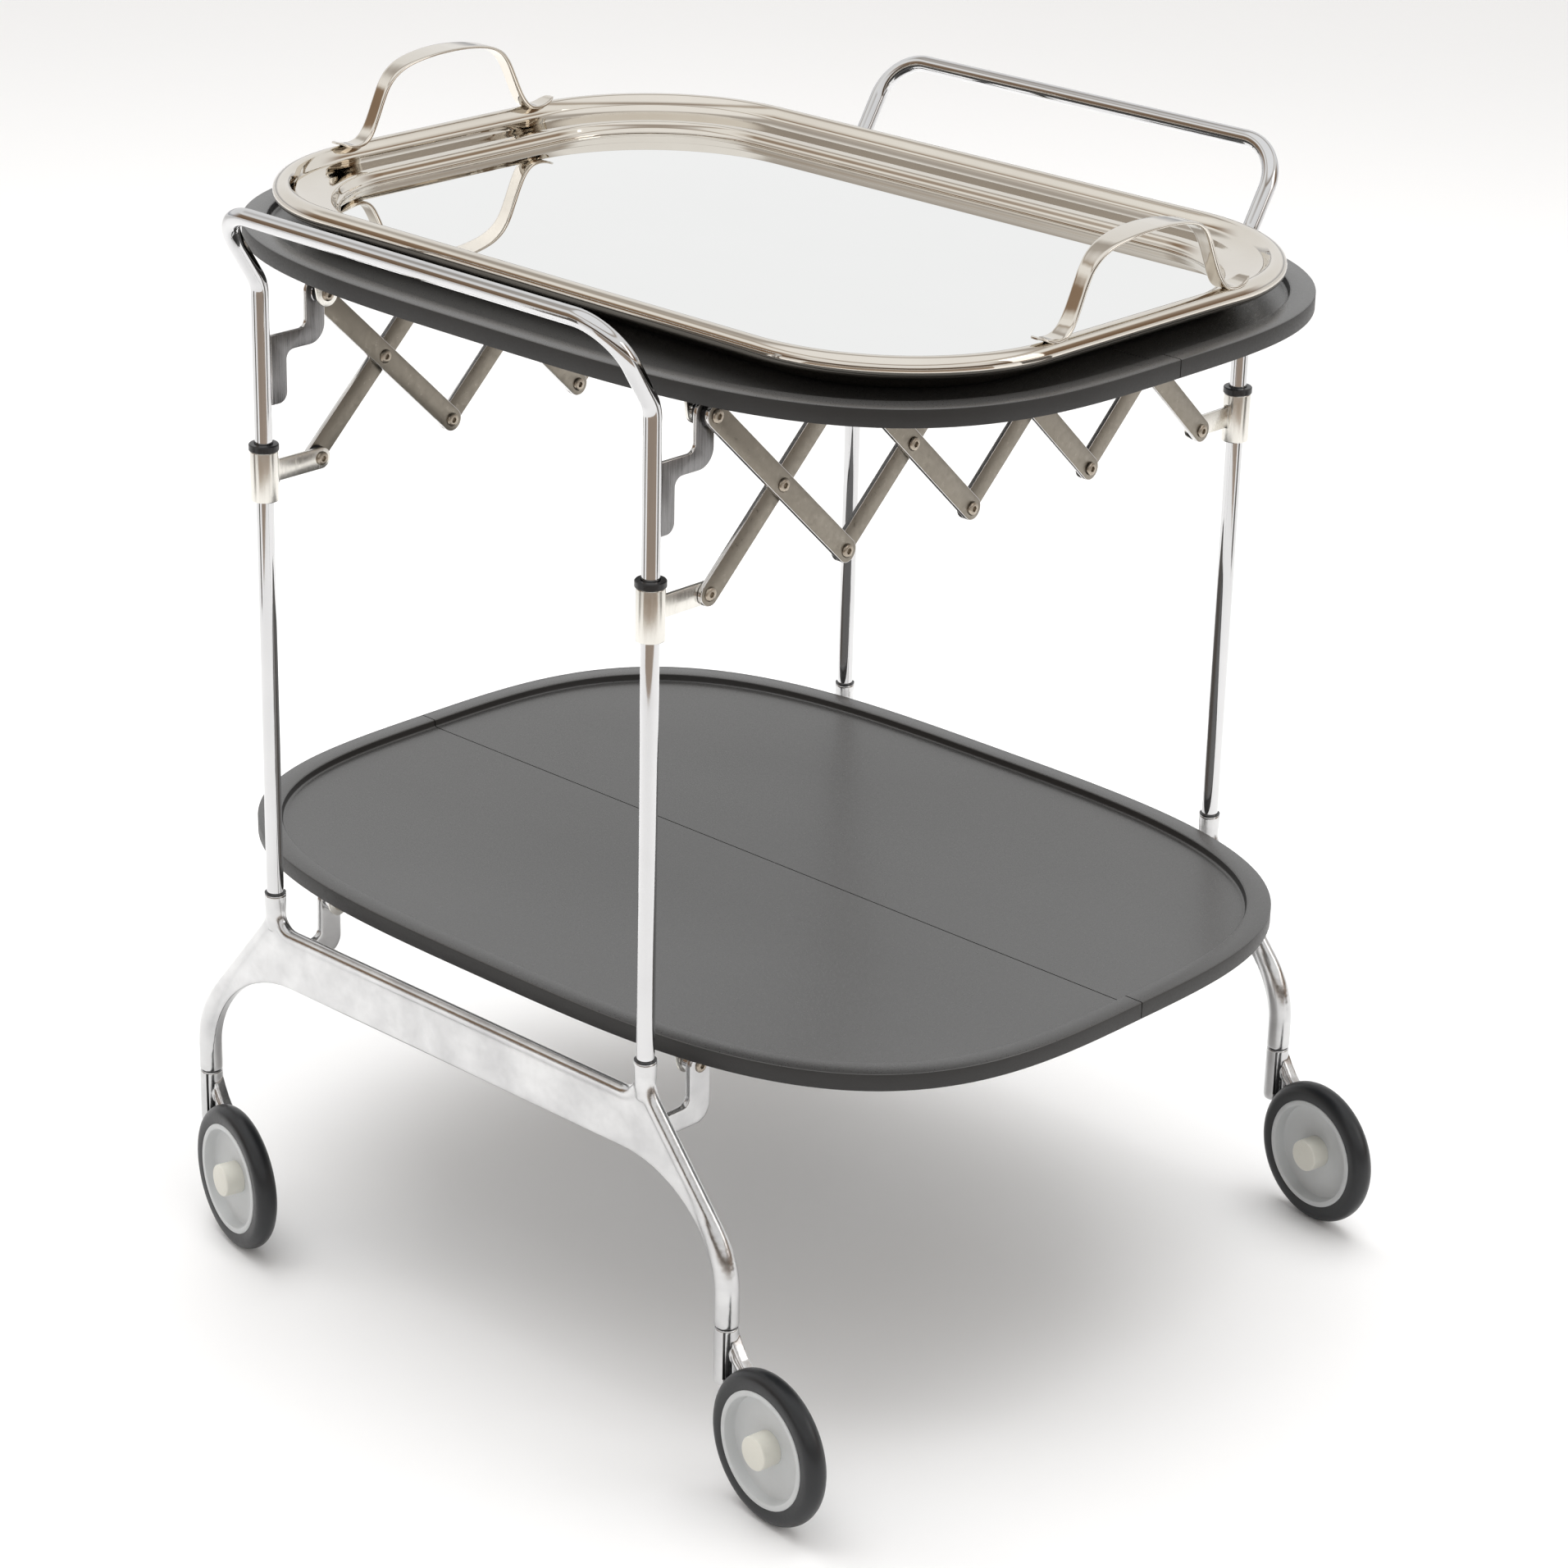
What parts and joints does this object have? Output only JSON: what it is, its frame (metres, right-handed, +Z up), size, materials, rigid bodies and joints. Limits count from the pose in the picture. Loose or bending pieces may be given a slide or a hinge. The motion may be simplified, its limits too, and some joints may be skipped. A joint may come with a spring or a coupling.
{
  "type": "folding bar cart",
  "caption": "Folding serving cart on casters: two tube end frames, scissor chains, split oval shelves and a lift-off tray.",
  "frame": {"origin": "on the floor, at the middle of the footprint between the two end frames", "axes": "+X along the shelves' seam, +Y from the front end frame to the rear end frame, +Z up"},
  "size_m": [0.6666, 0.6171, 0.7407],
  "materials": {
    "chrome_tube": "polished",
    "cast_yoke": "polished, fine scratches",
    "bracket_steel": "brushed",
    "satin_nickel": "satin",
    "bar_nickel": "satin with bright edges",
    "black_bushing": "satin",
    "shelf_plastic": "fine matt grain",
    "pin_steel": "plain",
    "caster_metal": "polished",
    "hub_plastic": "matt",
    "tyre_rubber": "smooth",
    "cap_plastic": "matt",
    "tray_silver": "high polish",
    "tray_mirror": "mirror"
  },
  "bodies": {
    "front_frame": {"front_frame_tube": "chrome_tube", "front_yoke": "cast_yoke", "front_left_upper_bracket": "bracket_steel", "front_right_upper_bracket": "bracket_steel"},
    "rear_frame": {"rear_frame_tube": "chrome_tube", "rear_yoke": "cast_yoke", "rear_left_upper_bracket": "bracket_steel", "rear_right_upper_bracket": "bracket_steel"},
    "upper_shelf_front_half": {"upper_shelf_front": "shelf_plastic", "upper_seam_pin_left": "pin_steel", "upper_seam_pin_right": "pin_steel"},
    "upper_shelf_rear_half": {"upper_shelf_rear": "shelf_plastic"},
    "lower_shelf_front_half": {"lower_shelf_front": "shelf_plastic", "lower_seam_pin_left": "pin_steel", "lower_seam_pin_right": "pin_steel"},
    "lower_shelf_rear_half": {"lower_shelf_rear": "shelf_plastic"},
    "tray": {"tray_body": "tray_silver", "tray_mirror": "tray_mirror", "tray_handle_left": "tray_silver", "tray_handle_right": "tray_silver"},
    "front_sliders": {"front_left_slider_sleeve": "satin_nickel", "front_left_slider_bushing": "black_bushing", "front_right_slider_sleeve": "satin_nickel", "front_right_slider_bushing": "black_bushing"},
    "front_bars_falling_1": {"front_left_bar_falling_1": "bar_nickel", "front_right_bar_falling_1": "bar_nickel"},
    "front_bars_rising_1": {"front_left_bar_rising_1": "bar_nickel", "front_right_bar_rising_1": "bar_nickel"},
    "front_bars_rising_2": {"front_left_bar_rising_2": "bar_nickel", "front_right_bar_rising_2": "bar_nickel"},
    "front_bars_falling_2": {"front_left_bar_falling_2": "bar_nickel", "front_right_bar_falling_2": "bar_nickel"},
    "rear_sliders": {"rear_left_slider_sleeve": "satin_nickel", "rear_left_slider_bushing": "black_bushing", "rear_right_slider_sleeve": "satin_nickel", "rear_right_slider_bushing": "black_bushing"},
    "rear_bars_falling_1": {"rear_left_bar_falling_1": "bar_nickel", "rear_right_bar_falling_1": "bar_nickel"},
    "rear_bars_rising_1": {"rear_left_bar_rising_1": "bar_nickel", "rear_right_bar_rising_1": "bar_nickel"},
    "rear_bars_rising_2": {"rear_left_bar_rising_2": "bar_nickel", "rear_right_bar_rising_2": "bar_nickel"},
    "rear_bars_falling_2": {"rear_left_bar_falling_2": "bar_nickel", "rear_right_bar_falling_2": "bar_nickel"},
    "front_left_caster": {"front_left_caster_housing": "caster_metal"},
    "front_left_wheel": {"front_left_wheel_hub": "hub_plastic", "front_left_wheel_tyre": "tyre_rubber", "front_left_wheel_cap": "cap_plastic"},
    "front_right_caster": {"front_right_caster_housing": "caster_metal"},
    "front_right_wheel": {"front_right_wheel_hub": "hub_plastic", "front_right_wheel_tyre": "tyre_rubber", "front_right_wheel_cap": "cap_plastic"},
    "rear_left_caster": {"rear_left_caster_housing": "caster_metal"},
    "rear_left_wheel": {"rear_left_wheel_hub": "hub_plastic", "rear_left_wheel_tyre": "tyre_rubber", "rear_left_wheel_cap": "cap_plastic"},
    "rear_right_caster": {"rear_right_caster_housing": "caster_metal"},
    "rear_right_wheel": {"rear_right_wheel_hub": "hub_plastic", "rear_right_wheel_tyre": "tyre_rubber", "rear_right_wheel_cap": "cap_plastic"}
  },
  "joints": [
    {"name": "fold", "type": "hinge", "parent": "front_frame", "child": "upper_shelf_front_half", "pos_m": [-0.0063, -0.2242, 0.6438], "axis": [1, 0, 0], "range_deg": [0, 76]},
    {"name": "upper_seam", "type": "hinge", "parent": "upper_shelf_front_half", "child": "upper_shelf_rear_half", "pos_m": [-0.0063, 0.001, 0.6521], "axis": [1, 0, 0], "range_deg": [-152.5, 0]},
    {"name": "rear_upper_pivot", "type": "hinge", "parent": "upper_shelf_rear_half", "child": "rear_frame", "pos_m": [-0.0063, 0.2262, 0.6438], "axis": [1, 0, 0], "range_deg": [0, 76.5]},
    {"name": "lower_shelf_front_pivot", "type": "hinge", "parent": "front_frame", "child": "lower_shelf_front_half", "pos_m": [-0.0063, -0.2242, 0.235], "axis": [1, 0, 0], "range_deg": [0, 76.5]},
    {"name": "lower_shelf_rear_pivot", "type": "hinge", "parent": "rear_frame", "child": "lower_shelf_rear_half", "pos_m": [-0.0063, 0.2262, 0.235], "axis": [1, 0, 0], "range_deg": [-76.5, 0]},
    {"name": "front_falling_1_pivot", "type": "hinge", "parent": "front_frame", "child": "front_bars_falling_1", "pos_m": [-0.0063, -0.2242, 0.6438], "axis": [1, 0, 0], "range_deg": [-38.26, 0]},
    {"name": "front_rising_1_pivot", "type": "hinge", "parent": "front_bars_falling_1", "child": "front_bars_rising_1", "pos_m": [-0.0063, -0.1679, 0.59005], "axis": [1, 0, 0], "range_deg": [0, 76.01]},
    {"name": "front_slider_pivot", "type": "hinge", "parent": "front_bars_rising_1", "child": "front_sliders", "pos_m": [-0.0063, -0.2242, 0.5363], "axis": [1, 0, 0], "range_deg": [-38.26, 0]},
    {"name": "front_rising_2_pivot", "type": "hinge", "parent": "front_bars_falling_1", "child": "front_bars_rising_2", "pos_m": [-0.0063, -0.1116, 0.5363], "axis": [1, 0, 0], "range_deg": [0, 76.01]},
    {"name": "front_falling_2_pivot", "type": "hinge", "parent": "front_bars_rising_1", "child": "front_bars_falling_2", "pos_m": [-0.0063, -0.1116, 0.6438], "axis": [1, 0, 0], "range_deg": [-76.01, 0]},
    {"name": "rear_falling_1_pivot", "type": "hinge", "parent": "rear_frame", "child": "rear_bars_falling_1", "pos_m": [-0.0063, 0.2262, 0.6438], "axis": [1, 0, 0], "range_deg": [0, 38.26]},
    {"name": "rear_rising_1_pivot", "type": "hinge", "parent": "rear_bars_falling_1", "child": "rear_bars_rising_1", "pos_m": [-0.0063, 0.1699, 0.59005], "axis": [1, 0, 0], "range_deg": [-76.01, 0]},
    {"name": "rear_slider_pivot", "type": "hinge", "parent": "rear_bars_rising_1", "child": "rear_sliders", "pos_m": [-0.0063, 0.2262, 0.5363], "axis": [1, 0, 0], "range_deg": [0, 38.26]},
    {"name": "rear_rising_2_pivot", "type": "hinge", "parent": "rear_bars_falling_1", "child": "rear_bars_rising_2", "pos_m": [-0.0063, 0.1136, 0.5363], "axis": [1, 0, 0], "range_deg": [-76.01, 0]},
    {"name": "rear_falling_2_pivot", "type": "hinge", "parent": "rear_bars_rising_1", "child": "rear_bars_falling_2", "pos_m": [-0.0063, 0.1136, 0.6438], "axis": [1, 0, 0], "range_deg": [0, 76.01]},
    {"name": "tray_lift", "type": "slide", "parent": "front_frame", "child": "tray", "axis": [0, 0, 1], "range_m": [0, 0.4]},
    {"name": "front_left_swivel", "type": "hinge", "parent": "front_frame", "child": "front_left_caster", "pos_m": [-0.2448, -0.269, 0.1026], "axis": [0, 0, 1], "continuous": true},
    {"name": "front_left_roll", "type": "hinge", "parent": "front_left_caster", "child": "front_left_wheel", "pos_m": [-0.19171, -0.28175, 0.0488], "axis": [0.2334, 0.9724, 0], "continuous": true},
    {"name": "front_right_swivel", "type": "hinge", "parent": "front_frame", "child": "front_right_caster", "pos_m": [0.2322, -0.269, 0.1026], "axis": [0, 0, 1], "continuous": true},
    {"name": "front_right_roll", "type": "hinge", "parent": "front_right_caster", "child": "front_right_wheel", "pos_m": [0.28631, -0.27632, 0.0488], "axis": [0.134, 0.991, 0], "continuous": true},
    {"name": "rear_left_swivel", "type": "hinge", "parent": "rear_frame", "child": "rear_left_caster", "pos_m": [-0.2448, 0.271, 0.1026], "axis": [0, 0, 1], "continuous": true},
    {"name": "rear_left_roll", "type": "hinge", "parent": "rear_left_caster", "child": "rear_left_wheel", "pos_m": [-0.19139, 0.25965, 0.0488], "axis": [0.2079, 0.9781, 0], "continuous": true},
    {"name": "rear_right_swivel", "type": "hinge", "parent": "rear_frame", "child": "rear_right_caster", "pos_m": [0.2322, 0.271, 0.1026], "axis": [0, 0, 1], "continuous": true},
    {"name": "rear_right_roll", "type": "hinge", "parent": "rear_right_caster", "child": "rear_right_wheel", "pos_m": [0.28597, 0.26152, 0.0488], "axis": [0.1736, 0.9848, 0], "continuous": true}
  ],
  "couplings": [
    {"joint": "upper_seam", "follows": "fold", "ratio": -2},
    {"joint": "rear_upper_pivot", "follows": "fold", "ratio": 1},
    {"joint": "lower_shelf_front_pivot", "follows": "fold", "ratio": 1},
    {"joint": "lower_shelf_rear_pivot", "follows": "fold", "ratio": -1},
    {"joint": "front_falling_1_pivot", "follows": "fold", "ratio": -0.49673},
    {"joint": "front_rising_1_pivot", "follows": "fold", "ratio": 0.99347},
    {"joint": "front_slider_pivot", "follows": "fold", "ratio": -0.49673},
    {"joint": "front_rising_2_pivot", "follows": "fold", "ratio": 0.99347},
    {"joint": "front_falling_2_pivot", "follows": "fold", "ratio": -0.99347},
    {"joint": "rear_falling_1_pivot", "follows": "fold", "ratio": 0.49673},
    {"joint": "rear_rising_1_pivot", "follows": "fold", "ratio": -0.99347},
    {"joint": "rear_slider_pivot", "follows": "fold", "ratio": 0.49673},
    {"joint": "rear_rising_2_pivot", "follows": "fold", "ratio": -0.99347},
    {"joint": "rear_falling_2_pivot", "follows": "fold", "ratio": 0.99347},
    {"joint": "tray_lift", "follows": "fold", "m_per_rad": 0.3}
  ]
}
